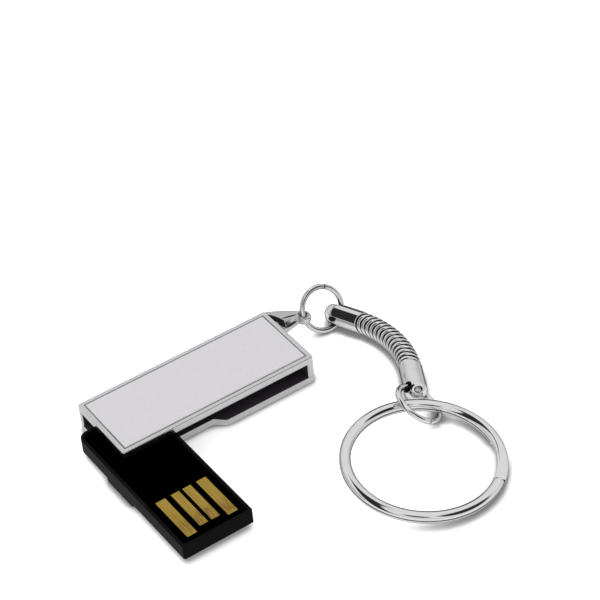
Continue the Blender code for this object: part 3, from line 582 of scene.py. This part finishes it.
# ear: a horn from the casing's back corner to a drilled tip, scooped out in front
# the scoop and the clefts are middle, radii in mm and turn
ear = {"root": 16.2 * mm, "end": 17.0 * mm, "neck": 0.2 * mm, "round": 0.22 * mm,
       "rim": 0.05 * mm, "rootFront": 2.4 * mm, "rootBack": 6.65 * mm, "rootLow": 2.5 * mm,
       "rootHigh": 4.88 * mm, "bulge": Vector((0.45, 0.45)) * mm, "bulgeSteps": 16,
       "hole": Vector((21.85, 3.12, 3.43)) * mm, "holeRadius": 0.68 * mm, "drill": 9.0 * mm,
       "drillSteps": 48, "tipRadius": 1.15 * mm, "tipHeight": 1.0 * mm, "tipFrom": -165.0,
       "tipSweep": 220.0, "tipSteps": 36,
       "scoop": ((18.2, 1.2, 5.1), (3.2, 2.3, 1.75), 0.0),
       "clefts": [((17.5, 4.15, 5.0), (0.6, 2.0, 1.9), 24.0),
                  ((19.7, 3.85, 4.35), (1.8, 0.17, 0.4), -3.0),
                  ((19.2, 2.66, 3.8), (1.35, 0.13, 0.3), 3.0)]}


def earOutline():
    hole, radius, neck = ear["hole"], ear["tipRadius"], ear["end"] + ear["neck"]
    outline = [(ear["root"], ear["rootBack"]), (ear["root"], ear["rootFront"]),
               (neck, ear["rootFront"])]
    for step in range(ear["tipSteps"] + 1):
        angle = math.radians(ear["tipFrom"] + ear["tipSweep"] * step / ear["tipSteps"])
        outline.append((hole.x + radius * math.cos(angle), hole.y + radius * math.sin(angle)))
    leave, meet = Vector(outline[-1]), Vector((neck, ear["rootBack"]))
    bulge = (leave + meet) / 2 + ear["bulge"]
    for step in range(1, ear["bulgeSteps"] + 1):
        t = step / ear["bulgeSteps"]
        outline.append(tuple(leave * (1 - t) ** 2 + bulge * 2 * t * (1 - t) + meet * t * t))
    return outline


def earDrill():
    bm = bmesh.new()
    bmesh.ops.create_cone(bm, cap_ends=True, segments=ear["drillSteps"], depth=ear["drill"],
                          radius1=ear["holeRadius"], radius2=ear["holeRadius"])
    lean = math.radians(jumpRing["lean"])
    # moved a little so that the ring's bow is midway in the hole
    half = ear["tipHeight"] / 2 / math.cos(lean)
    bow = Vector((half**2 / jumpRing["radius"] / 4, 0.0, 0.0))
    place = Matrix.Translation(ear["hole"] + bow) @ Matrix.Rotation(-lean, 4, "X")
    bmesh.ops.transform(bm, matrix=place, verts=bm.verts)
    return bm


def chainEar():
    bm = bmesh.new()
    hole, end = ear["hole"], ear["end"]
    raised(bm, earOutline(), ear["rootLow"], ear["rootHigh"])
    for place in (end, hole.x):
        bmesh.ops.bisect_plane(bm, geom=list(bm.verts) + list(bm.edges) + list(bm.faces),
                               plane_co=(place, 0, 0), plane_no=(1, 0, 0), dist=weld / 2)
    # thinner towards the tip
    middle = (ear["rootLow"] + ear["rootHigh"]) / 2
    for vert in bm.verts:
        along = min(max((vert.co.x - end) / (hole.x - end), 0.0), 1.0)
        if vert.co.z > middle:
            vert.co.z += along * (hole.z + ear["tipHeight"] / 2 - ear["rootHigh"])
        else:
            vert.co.z += along * (hole.z - ear["tipHeight"] / 2 - ear["rootLow"])
    bmesh.ops.recalc_face_normals(bm, faces=bm.faces)
    softened(bm, ear["round"], 4, angle=50.0, only=lambda e: e.is_convex)
    hollows = []
    for centre, radii, turn in [ear["scoop"]] + ear["clefts"]:
        size = Matrix.Diagonal((*radii, 1.0))
        hollows.append(Matrix.Translation(Vector(centre) * mm) @ turnZ(turn) @ size)
    bm = carved(bm, [ballCut(hollow) for hollow in hollows] + [earDrill()])
    softened(bm, ear["rim"], 2, only=lambda e: e.is_convex)
    # painted shade: the clefts' faces are darkened as if shade fell in them
    clefts = [hollow.inverted() for hollow in hollows[1:]]
    for face in bm.faces:
        face.material_index = int(any(onBall(face, shrink) for shrink in clefts))
    horn = fromBmesh("chainEar", bm, casingPlate, "casing", smoothAngle=40.0, shadeCoat=paintedShade)


chainEar()
print("casing made")

# rings of round wire with a narrow cut
connector = {"radius": 3.6 * mm, "wire": 0.46 * mm, "cut": 0.15 * mm, "cutAt": 25.0, "tilt": 36.9,
             "tiltHeading": -23.3, "heading": -121.0, "eyeAt": 180.0}
wireRound = {"segments": 28, "steps": 144, "edge": 0.07 * mm}
upright = Matrix.Rotation(math.radians(90 - jumpRing["lean"]), 4, "X")
jumpPlace = Matrix.Translation(hingeAt["jump_ring"]) @ upright
tilted = leaning(connector["tilt"], connector["tiltHeading"]) @ turnZ(connector["heading"])
connectorPlace = Matrix.Translation(hingeAt["connector_ring"]) @ tilted


def loopAcross(bm, ring, radius, segments, start, filled):
    loop = bmesh.ops.create_circle(bm, cap_ends=filled, segments=segments, radius=radius)["verts"]
    stood = Matrix.Rotation(math.radians(90), 3, "X")
    bmesh.ops.rotate(bm, cent=origin, matrix=stood, verts=loop)
    bmesh.ops.translate(bm, vec=(ring["radius"], 0, 0), verts=loop)
    bmesh.ops.rotate(bm, cent=origin, matrix=Matrix.Rotation(start, 3, "Z"), verts=loop)


def hung(bm, ring, place):
    bmesh.ops.translate(bm, vec=(ring["radius"], 0, 0), verts=bm.verts)
    bmesh.ops.transform(bm, matrix=place, verts=bm.verts)


def wireRing(name, ring, place, node):
    bm = bmesh.new()
    half = ring["cut"] / 2 / ring["radius"]
    start = math.radians(ring["cutAt"]) + half
    loopAcross(bm, ring, ring["wire"], wireRound["segments"], start, True)
    bmesh.ops.spin(bm, geom=list(bm.faces), cent=origin, axis=(0, 0, 1),
                   angle=2 * math.pi - 2 * half, steps=wireRound["steps"], use_duplicate=False)
    bmesh.ops.recalc_face_normals(bm, faces=bm.faces)
    softened(bm, wireRound["edge"], 2, angle=60.0)
    for face in bm.faces:
        face.material_index = int(len(face.verts) > 8)  # sawn ends get the painted shade
    hung(bm, ring, place)
    wire = fromBmesh(name, bm, brightPlate, node, smoothAngle=50.0, shadeCoat=paintedShade)
    standsFor(wire, node)


wireRing("jumpRing", jumpRing, jumpPlace, "jump_ring")
wireRing("connectorRing", connector, connectorPlace, "connector_ring")

# chain caps: round-nosed plated barrels, drilled crosswise along the ring that they hang on
# a mouth's place and radii are in mm, from the eye with x along the barrel
cap = {"radius": 1.8 * mm, "endGap": 0.16 * mm, "noseFrom": -0.3 * mm, "noseSteps": 20,
       "edge": 0.12 * mm, "edgeSteps": 4, "roundSteps": 80, "holeReach": 54.0, "holeSteps": 28,
       "holeSegments": 40, "skin": 0.988, "endPart": 0.6 * mm}
# with dark set, the mouth's hollow also takes the painted shade
capA = {"length": 4.36 * mm, "heading": -65.2, "nose": 2.1 * mm, "hole": 0.85 * mm,
        "flare": 0.8 * mm, "dark": True,
        "mouth": {"at": (-0.21, -1.735, 0.46), "radii": (0.70, 0.42, 0.85),
                  "out": (0.435, -0.626, 0.647), "across": (0.854, 0.514, -0.077)}}
capB = {"length": 5.7 * mm, "heading": -117.5, "rise": 4.0, "nose": 1.65 * mm, "hole": 0.85 * mm,
        "flare": 0.3 * mm, "dark": False,
        "mouth": {"at": (-1.48, -0.19, 1.24), "radii": (0.60, 0.52, 0.85),
                  "out": (-0.805, 0.039, 0.593), "across": (-0.11, -0.99, -0.085)}}
chainWave = {"height": 0.36 * mm, "crest": math.radians(45.0)}


def waveAt(point):
    # height of the links' wave on the round of the chain, from -1 to 1
    if not (point.y or point.z):
        return 0.0
    return math.cos(2 * (math.atan2(point.z, point.y) - chainWave["crest"]))


def curvedDrill(ring, place, radius, flare):
    bm = bmesh.new()
    reach, steps = cap["holeReach"], cap["holeSteps"]
    start = math.radians(ring["eyeAt"] - reach)
    loopAcross(bm, ring, radius + flare, cap["holeSegments"], start, False)
    onward = Matrix.Rotation(math.radians(2 * reach / steps), 3, "Z")
    edges = list(bm.edges)
    rims = [edges]
    for step in range(1, steps + 1):
        grown = bmesh.ops.extrude_edge_only(bm, edges=edges)["geom"]
        verts = vertsOf(grown)
        fresh = set(verts)
        edges = [g for g in grown if isinstance(g, bmesh.types.BMEdge)
                 and all(v in fresh for v in g.verts)]
        bmesh.ops.rotate(bm, cent=origin, matrix=onward, verts=verts)
        middle = sum((v.co for v in verts), Vector()) / len(verts)
        wanted = radius + flare * abs(2 * step / steps - 1) ** 2
        now = (verts[0].co - middle).length
        bmesh.ops.scale(bm, vec=(wanted / now,) * 3, space=Matrix.Translation(-middle), verts=verts)
    rims.append(edges)
    for rim in rims:
        bmesh.ops.edgeloop_fill(bm, edges=rim)
    hung(bm, ring, place)
    return bm


def capBarrel(which, end):
    bm = bmesh.new()
    radius, soft, nose = cap["radius"], cap["edge"], which["nose"]
    profile = [(end, 0, 0), (end, radius - soft, 0)]
    for step in range(1, cap["edgeSteps"] + 1):
        angle = math.radians(90 * step / cap["edgeSteps"])
        along = end - soft * (1 - math.cos(angle))
        profile.append((along, radius - soft * (1 - math.sin(angle)), 0))
    for step in range(cap["noseSteps"] + 1):
        angle = math.radians(90 * step / cap["noseSteps"])
        profile.append((cap["noseFrom"] - nose * math.sin(angle), radius * math.cos(angle), 0))
    turnedAbout(bm, profile, (1, 0, 0), cap["roundSteps"])
    # the rim is waved like the links
    for vert in bm.verts:
        if vert.co.x > end - 1.5 * soft:
            vert.co.x += chainWave["height"] * waveAt(vert.co)
    return bm


def chainCap(name, which, place, ring, ringPlace, node):
    end, mouth = which["length"] - cap["endGap"], which["mouth"]
    bm = capBarrel(which, end)
    bmesh.ops.transform(bm, matrix=place, verts=bm.verts)
    # a drilling along the ring, and a hollow that opens it
    drill = curvedDrill(ring, ringPlace, which["hole"], which["flare"])
    out, across = Vector(mouth["out"]).normalized(), Vector(mouth["across"]).normalized()
    aimed = Matrix((across, out.cross(across), out)).transposed().to_4x4()
    middle, size = Matrix.Translation(Vector(mouth["at"]) * mm), (*mouth["radii"], 1.0)
    hollow = place @ middle @ aimed @ Matrix.Diagonal(size)
    bm = carved(bm, [drill, ballCut(hollow)])
    back, hollowBack = place.inverted(), hollow.inverted()

    def skinReach(at):
        # 1 on the cap's skin, less inside it
        here = back @ at
        narrowed = min(max((cap["noseFrom"] - here.x) / which["nose"], 0.0), 1.0)
        return math.hypot(narrowed, math.hypot(here.y, here.z) / cap["radius"])

    # painted shade: faces deep inside the drilling are darkened, and the mouth's faces too where
    # dark is set
    for face in bm.faces:
        inBarrel = (back @ face.calc_center_median()).x < end - cap["endPart"]
        deep = inBarrel and any(skinReach(vert.co) < cap["skin"] for vert in face.verts)
        face.material_index = int(deep and (which["dark"] or not onBall(face, hollowBack)))
    barrel = fromBmesh(name, bm, brightPlate, node, smoothAngle=25.0, shadeCoat=paintedShade)
    standsFor(barrel, node)


capPlaceA = Matrix.Translation(hingeAt["chain_cap_a"]) @ turnZ(capA["heading"])
chainCap("chainCapA", capA, capPlaceA, jumpRing, jumpPlace, "chain_cap_a")
capPlaceB = Matrix.Translation(hingeAt["chain_cap_b"]) @ turnZ(capB["heading"])
capPlaceB = capPlaceB @ Matrix.Rotation(math.radians(-capB["rise"]), 4, "Y")
capPlaceB = capPlaceB @ Matrix.Translation((capB["length"], 0, 0)) @ turnZ(180)
chainCap("chainCapB", capB, capPlaceB, connector, connectorPlace, "chain_cap_b")

# snake chain: waved links that nest into one another
chain = {"count": 15, "pitch": 0.891 * mm, "radius": 1.75 * mm, "wall": 0.95 * mm,
         "thickness": 0.74 * mm, "heading": -65.2, "turn": -52.3, "square": 0.42, "waist": 0.28,
         "segments": 24, "steps": 72, "sideFacing": 0.75}


def chainLink(number):
    bm = bmesh.new()
    loop = bmesh.ops.create_circle(bm, cap_ends=False, segments=chain["segments"], radius=1.0)
    loop = loop["verts"]
    for vert in loop:
        for axis in (0, 1):
            vert.co[axis] = math.copysign(abs(vert.co[axis]) ** chain["square"], vert.co[axis])
    bmesh.ops.scale(bm, vec=(chain["thickness"] / 2, chain["wall"] / 2, 1.0), verts=loop)
    bmesh.ops.translate(bm, vec=(0, chain["radius"] - chain["wall"] / 2, 0), verts=loop)
    bmesh.ops.spin(bm, geom=list(bm.verts) + list(bm.edges), cent=origin, axis=(1, 0, 0),
                   angle=2 * math.pi, steps=chain["steps"], use_merge=True, use_duplicate=False)
    bmesh.ops.remove_doubles(bm, verts=bm.verts, dist=weld)
    bmesh.ops.recalc_face_normals(bm, faces=bm.faces)
    # painted shade: the side faces, where the links nest together, are darkened as the shade
    # between them
    paintShadeOn(bm, lambda at, way: abs(way.x) > chain["sideFacing"])
    for vert in bm.verts:
        swell = waveAt(vert.co)
        vert.co.x *= 1 - chain["waist"] * swell**2
        vert.co.x += chain["pitch"] / 2 + chainWave["height"] * swell
    node = f"chain_link_{number:02d}"
    heading = chain["heading"] + chain["turn"] * number / (chain["count"] + 1)
    place = Matrix.Translation(hingeAt[node]) @ turnZ(heading)
    bmesh.ops.transform(bm, matrix=place, verts=bm.verts)
    link = fromBmesh(f"chainLink{number:02d}", bm, brightPlate, node, smoothAngle=60.0,
                     shadeCoat=paintedShade)
    standsFor(link, node)


for number in range(1, chain["count"] + 1):
    chainLink(number)
print("chain made")

# split key ring: half-round wire wound almost two turns, flat sides together
keyRing = {"radius": 11.54 * mm, "band": 1.7 * mm, "height": 0.85 * mm, "base": 0.12 * mm,
           "gap": 0.1 * mm, "square": 0.4, "edge": 0.06 * mm, "turns": 1.88, "start": -13.0,
           "crossover": 50.0, "tilt": 5.34, "tiltHeading": -44.4, "hold": 57.0, "steps": 300,
           "points": 40, "flatFrom": 0.35, "crossPart": 0.47}


def halfRound(angle, up):
    # up 1: dome above and flat below; up 0: the other way round
    across, rise = math.cos(angle), math.sin(angle)
    boxAcross = math.copysign(abs(across) ** keyRing["square"], across)
    boxRise = math.copysign(abs(rise) ** keyRing["square"], rise)
    dome, base = keyRing["height"] - keyRing["base"], keyRing["base"]
    seam = keyRing["height"] / 2 - base
    above = (across, dome * rise - seam) if rise > 0 else (boxAcross, base * boxRise - seam)
    below = (boxAcross, base * boxRise + seam) if rise > 0 else (across, dome * rise + seam)
    out = keyRing["band"] / 2 * (above[0] * up + below[0] * (1 - up))
    return out, above[1] * up + below[1] * (1 - up)


def splitRing():
    bm = bmesh.new()
    total, steps, points = 360.0 * keyRing["turns"], keyRing["steps"], keyRing["points"]
    lift = keyRing["height"] + keyRing["gap"]
    rows, ups = [], []
    for step in range(steps + 1):
        turned = total * step / steps
        share = min(max((turned - total / 2) / keyRing["crossover"] + 0.5, 0.0), 1.0)
        share = eased(share)
        way = math.radians(keyRing["start"] + turned)
        row = []
        for point in range(points):
            out, high = halfRound(2 * math.pi * (point + 0.5) / points, share)
            reach = keyRing["radius"] + out
            at = (reach * math.cos(way), reach * math.sin(way), high + lift * (share - 0.5))
            row.append(bm.verts.new(at))
        rows.append(row)
        ups.append(share)
    for one, two, up in zip(rows, rows[1:], ups):
        for point in range(points):
            face = bm.faces.new((one[point - 1], one[point], two[point], two[point - 1]))
            # painted shade: the flat sides where the two turns lie together are darkened as the
            # shade between them
            inward = math.sin(2 * math.pi * point / points) * (1 - 2 * up)
            flat = inward > keyRing["flatFrom"] and abs(up - 0.5) > keyRing["crossPart"]
            face.material_index = int(flat)
    bm.faces.new(rows[0])
    bm.faces.new(rows[-1])
    bmesh.ops.recalc_face_normals(bm, faces=bm.faces)
    softened(bm, keyRing["edge"], 2, angle=70.0)
    lean = leaning(keyRing["tilt"], keyRing["tiltHeading"])
    held, radius = math.radians(keyRing["hold"]), keyRing["radius"]
    grip = lean @ Vector((radius * math.cos(held), radius * math.sin(held), 0))
    place = Matrix.Translation(hingeAt["key_ring"] - grip) @ lean
    bmesh.ops.transform(bm, matrix=place, verts=bm.verts)
    wound = fromBmesh("splitRing", bm, brightPlate, "key_ring", smoothAngle=50.0,
                      shadeCoat=paintedShade)
    standsFor(wound, "key_ring")


splitRing()
print("key ring made")

# solids that stay as they are take their finishes
for finish, nodes in (
    (trayPlastic, ["slug_carrier"]),
    (boardCoat, ["contact_board"]),
    (padGold, ["contact_pad_1", "contact_pad_2", "contact_pad_3", "contact_pad_4"]),
    (turnedSteel, ["pivot_pin", "base_screw", "spring_washer", "pivot_bush", "timing_crystal"]),
    (chipMould, ["memory_chip", "controller_chip"]),
):
    for node in nodes:
        slots = frame["nodes"][node].data.materials
        slots.clear()
        slots.append(finish)
print("solids finished")

# floor, light and background
# a card is its direction and where its edge starts and ends, as cosines
stageLook = {"floorSize": 0.9, "floorDrop": 0.01 * mm, "floorTone": 0.95, "floorLift": 0.55,
             "mirrorLift": 0.365, "mirrorShade": 0.36, "contact": 1.7 * mm, "contactDark": 0.2,
             "contactSpan": (0.46, 0.93), "contactSamples": 12, "ambient": 0.70,
             "horizon": 0.66, "bright": 0.86, "brightFrom": 0.6, "low": 0.025,
             "strip": (-0.087, 0.862, -0.5), "stripFrom": (-0.37, -0.29),
             "stripTo": (0.09, 0.17), "stripEnd": (-0.02, 0.12),
             "cards": [((0.386, -0.647, 0.657), 0.86, 0.93), ((0.57, 0.80, 0.18), 0.96, 0.98),
                       ((-0.40, -0.52, 0.755), 0.965, 0.985)]}


def floorMaterial():
    material = bpy.data.materials.new("pale_floor")
    material.use_nodes = True
    graph = Graph(material.node_tree)
    seen, mirrored = graph.rays("Is Camera Ray"), graph.rays("Is Glossy Ray")
    through = graph.rays("Is Transmission Ray")
    # contact shadow: the floor darkens close to what stands on it
    openShare = graph.add("ShaderNodeAmbientOcclusion", {"samples": stageLook["contactSamples"]},
                          {"Distance": stageLook["contact"]}, "AO")
    dark = graph.spread(openShare, *stageLook["contactSpan"], stageLook["contactDark"], 1.0)
    level = 1.0 - seen * (1.0 - dark) - mirrored * stageLook["mirrorShade"]
    matt = graph.add("ShaderNodeBsdfDiffuse", {}, {"Color": level * stageLook["floorTone"]})
    glow = (seen + through).clamped() * level * stageLook["floorLift"]
    glow = glow + mirrored * stageLook["mirrorLift"]
    lift = graph.add("ShaderNodeEmission", {}, {"Color": glow, "Strength": 1.0})
    both = graph.add("ShaderNodeAddShader", {}, {0: matt, 1: lift})
    graph.add("ShaderNodeOutputMaterial", {}, {"Surface": both})
    return material


def studioFloor():
    bm = bmesh.new()
    bmesh.ops.create_grid(bm, x_segments=1, y_segments=1, size=stageLook["floorSize"])
    bmesh.ops.translate(bm, vec=(0, 0, -stageLook["floorDrop"]), verts=bm.verts)
    mesh = bpy.data.meshes.new("studioFloor")
    bm.to_mesh(mesh)
    bm.free()
    mesh.materials.append(floorMaterial())
    floor = bpy.data.objects.new("studioFloor", mesh)
    scene.collection.objects.link(floor)


def studioWorld():
    world = bpy.data.worlds.new("studio")
    world.use_nodes = True
    scene.world = world
    graph = Graph(world.node_tree)
    camera, through = graph.rays("Is Camera Ray"), graph.rays("Is Transmission Ray")
    glossy = graph.rays("Is Glossy Ray")
    toward = graph.add("ShaderNodeTexCoord", out="Generated")
    height = graph.add("ShaderNodeSeparateXYZ", {}, {"Vector": toward}, "Z")
    sideways = graph.add("ShaderNodeSeparateXYZ", {}, {"Vector": toward}, "X")
    studio = graph.spread(height, 0.0, stageLook["brightFrom"], stageLook["horizon"],
                          stageLook["bright"], "LINEAR")

    def towards(way):
        settings = {"operation": "DOT_PRODUCT"}
        return graph.add("ShaderNodeVectorMath", settings, {0: toward, 1: way}, "Value")

    # a dark strip between the softboxes, and small dark cards
    across = towards(stageLook["strip"])
    strip = graph.spread(across, *stageLook["stripFrom"])
    strip = strip * (1.0 - graph.spread(across, *stageLook["stripTo"]))
    strip = strip * (1.0 - graph.spread(sideways, *stageLook["stripEnd"]))
    openShare = 1.0 - strip
    for way, outer, inner in stageLook["cards"]:
        openShare = openShare * (1.0 - graph.spread(towards(way), outer, inner))
    studio = studio * openShare + stageLook["low"] * (1.0 - openShare)
    white = (camera + through).clamped()
    level = glossy * studio + (1.0 - glossy) * stageLook["ambient"]
    level = white + (1.0 - white) * level
    shade = graph.add("ShaderNodeBackground", {}, {"Color": level, "Strength": 1.0})
    graph.add("ShaderNodeOutputWorld", {}, {"Surface": shade})


lampAim = Vector((0.005, -0.012, 0.0))
lamps = [
    {"name": "backSoftbox", "at": (-0.10, 0.42, 0.46), "size": 0.30, "power": 1.5},
    {"name": "leftFill", "at": (-0.50, -0.10, 0.30), "size": 0.50, "power": 0.45},
]


def studioLamps():
    for lamp in lamps:
        data = bpy.data.lights.new(lamp["name"], "AREA")
        data.shape = "DISK"
        data.size = lamp["size"]
        data.energy = lamp["power"]
        holder = bpy.data.objects.new(lamp["name"], data)
        holder.location = lamp["at"]
        aim = lampAim - Vector(lamp["at"])
        holder.rotation_euler = aim.to_track_quat("-Z", "Y").to_euler()
        holder.visible_glossy = False
        scene.collection.objects.link(holder)


view = {"at": Vector((-121.04, -239.41, 246.14)) * mm, "right": Vector((0.8248, -0.5602, -0.0766)),
        "forward": Vector((0.3862, 0.6572, -0.6473)), "lens": 142.47, "sensor": 36.0,
        "nearest": 0.01, "farthest": 10.0}


def studioCamera():
    data = bpy.data.cameras.new("photoCamera")
    data.lens = view["lens"]
    data.sensor_fit = "HORIZONTAL"
    data.sensor_width = view["sensor"]
    data.clip_start = view["nearest"]
    data.clip_end = view["farthest"]
    camera = bpy.data.objects.new("photoCamera", data)
    forward = view["forward"].normalized()
    right = (view["right"] - forward * view["right"].dot(forward)).normalized()
    up = right.cross(forward)
    turn = Matrix((right, up, -forward)).transposed().to_4x4()
    camera.matrix_world = Matrix.Translation(view["at"]) @ turn
    scene.collection.objects.link(camera)
    scene.camera = camera


studioFloor()
studioWorld()
studioLamps()
studioCamera()
print("studio made")
